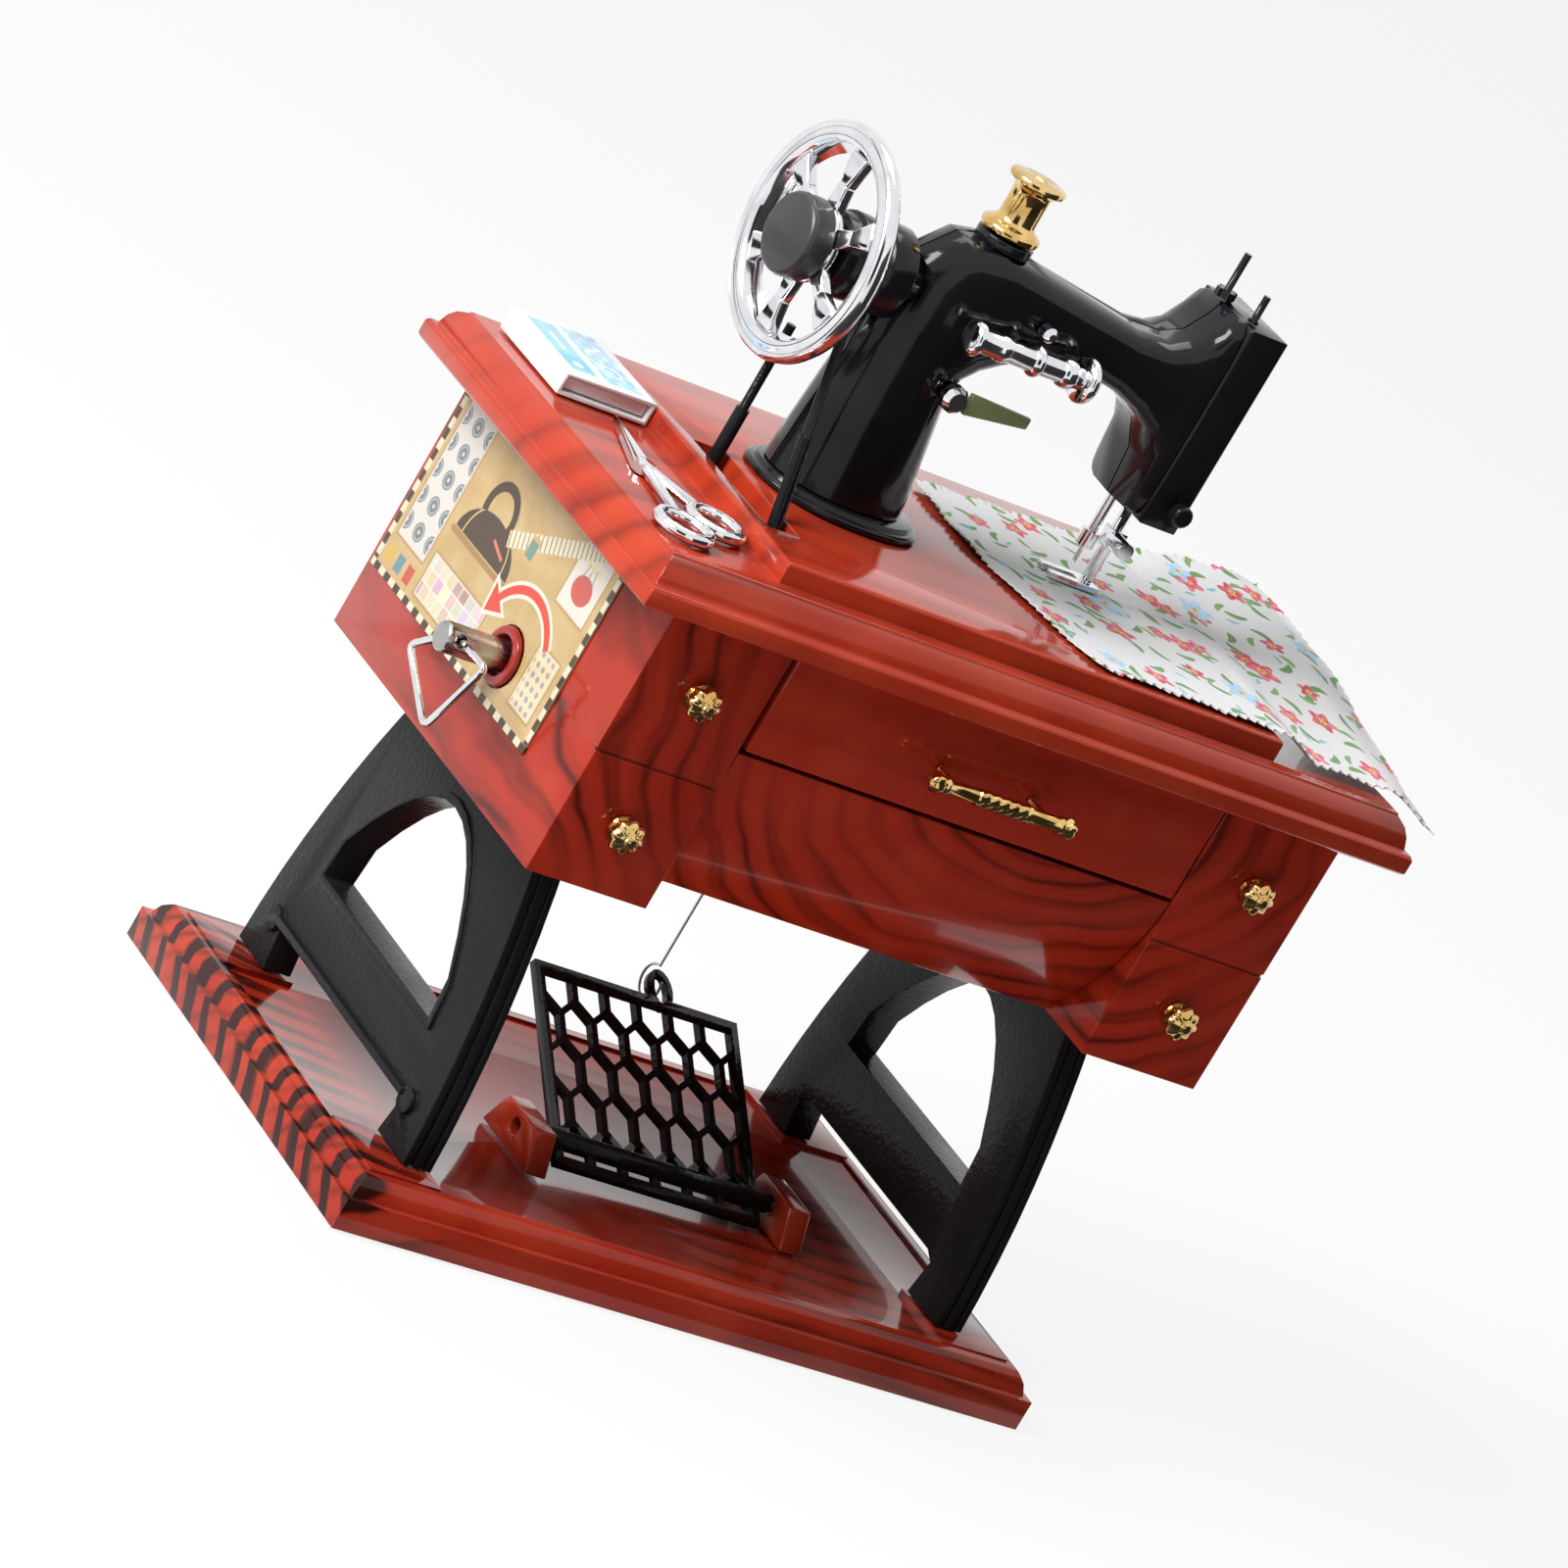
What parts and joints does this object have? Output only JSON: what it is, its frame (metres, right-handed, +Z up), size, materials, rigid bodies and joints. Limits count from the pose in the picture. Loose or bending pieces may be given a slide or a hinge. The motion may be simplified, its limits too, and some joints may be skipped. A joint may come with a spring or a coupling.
{
  "type": "clockwork music box",
  "caption": "Clockwork music box shaped as a treadle sewing-machine table, with winding key, turning handwheel, rocking treadle and sliding drawer.",
  "frame": {"origin": "centre of the base plinth's underside", "axes": "+X along the table towards the needle end, -Y towards the drawer front, +Z up"},
  "size_m": [0.1583, 0.0869, 0.1746],
  "materials": {
    "red_brown_gloss": "glossy, printed wood grain",
    "black_cast": "satin black, slightly pitted",
    "black_gloss": "glossy black",
    "chrome": "bright chrome plating",
    "gold": "bright gold plating",
    "brass": "plain brass",
    "steel": "plain steel",
    "bush_red": "glossy red",
    "cream_print": "printed label",
    "white_card": "white with blue printed panels",
    "olive_green": "satin olive green",
    "printed_cotton": "white cotton with small printed flowers"
  },
  "bodies": {
    "table": {"base_plinth": "red_brown_gloss", "foot_screw_left_front": "steel", "foot_screw_left_rear": "steel", "foot_screw_right_front": "steel", "foot_screw_right_rear": "steel", "leg_frame_left": "black_cast", "leg_frame_right": "black_cast", "treadle_bearing_left": "red_brown_gloss", "treadle_bearing_right": "red_brown_gloss", "cabinet_body": "red_brown_gloss", "cabinet_floor_left": "red_brown_gloss", "cabinet_floor_middle": "red_brown_gloss", "cabinet_floor_right": "red_brown_gloss", "apron_panel": "red_brown_gloss", "knob_left_upper": "gold", "knob_left_lower": "gold", "knob_right_upper": "gold", "knob_right_lower": "gold", "side_label": "cream_print", "key_bush": "bush_red", "movement_bedplate": "steel", "tone_comb": "steel", "tabletop": "red_brown_gloss", "needle_sleeve": "white_card", "needle_tray": "white_card", "scissors": "chrome", "sewn_cloth": "printed_cotton", "column_flange": "black_gloss", "machine_front_shell": "black_gloss", "machine_rear_shell": "black_gloss", "face_cover": "black_gloss", "face_screw": "black_gloss", "rear_thread_pin": "black_gloss", "front_thread_pin": "black_gloss", "wheel_boss": "black_gloss", "rear_belt_rod": "black_cast", "front_belt_rod": "black_cast", "spool_seat": "black_gloss", "thread_spool": "gold", "bobbin_winder": "chrome", "tension_stud": "chrome", "stitch_nut": "chrome", "stitch_lever": "olive_green", "presser_foot": "chrome"},
    "drawer": {"drawer_front": "red_brown_gloss", "drawer_box": "red_brown_gloss", "drawer_handle": "gold"},
    "treadle": {"treadle": "black_cast"},
    "pull_wire": {"pull_wire": "steel"},
    "winding": {"winding_key": "brass", "winding_arbor": "steel"},
    "key_ring": {"key_ring": "chrome"},
    "barrel": {"spring_barrel": "brass"},
    "cylinder": {"music_cylinder": "brass"},
    "governor": {"governor": "brass"},
    "handwheel": {"handwheel": "chrome", "wheel_hub_cap": "black_cast", "wheel_shaft": "steel"},
    "needle": {"needle_bar": "chrome"}
  },
  "joints": [
    {"name": "treadle_rock", "type": "hinge", "parent": "table", "child": "treadle", "pos_m": [0.0021, -0.0127, 0.01145], "axis": [1, 0, 0], "range_deg": [-3, 3]},
    {"name": "pull_wire_lift", "type": "slide", "parent": "table", "child": "pull_wire", "axis": [0, 0, 1], "range_m": [-0.0016, 0.0016]},
    {"name": "drawer_slide", "type": "slide", "parent": "table", "child": "drawer", "axis": [0, -1, 0], "range_m": [0, 0.045]},
    {"name": "winding_key_turn", "type": "hinge", "parent": "table", "child": "winding", "pos_m": [-0.0643, -0.0065, 0.0788], "axis": [1, 0, 0], "continuous": true},
    {"name": "key_ring_swing", "type": "hinge", "parent": "winding", "child": "key_ring", "pos_m": [-0.0739, -0.0065, 0.0788], "axis": [0, 0.9397, -0.342], "range_deg": [-32, 110]},
    {"name": "barrel_turn", "type": "hinge", "parent": "table", "child": "barrel", "pos_m": [-0.0603, -0.0065, 0.0788], "axis": [1, 0, 0], "continuous": true},
    {"name": "cylinder_turn", "type": "hinge", "parent": "table", "child": "cylinder", "pos_m": [-0.0528, 0.0045, 0.0788], "axis": [0, 1, 0], "continuous": true},
    {"name": "governor_spin", "type": "hinge", "parent": "table", "child": "governor", "pos_m": [-0.0606, 0.027, 0.0788], "axis": [1, 0, 0], "continuous": true},
    {"name": "handwheel_turn", "type": "hinge", "parent": "table", "child": "handwheel", "pos_m": [-0.0508, 0, 0.152], "axis": [1, 0, 0], "continuous": true},
    {"name": "needle_stroke", "type": "slide", "parent": "table", "child": "needle", "axis": [0, 0, 1], "range_m": [-0.0018, 0.0022]}
  ],
  "couplings": [
    {"joint": "pull_wire_lift", "follows": "treadle_rock", "m_per_rad": 0.0281},
    {"joint": "barrel_turn", "follows": "cylinder_turn", "ratio": 0.3333},
    {"joint": "governor_spin", "follows": "cylinder_turn", "ratio": -8}
  ]
}
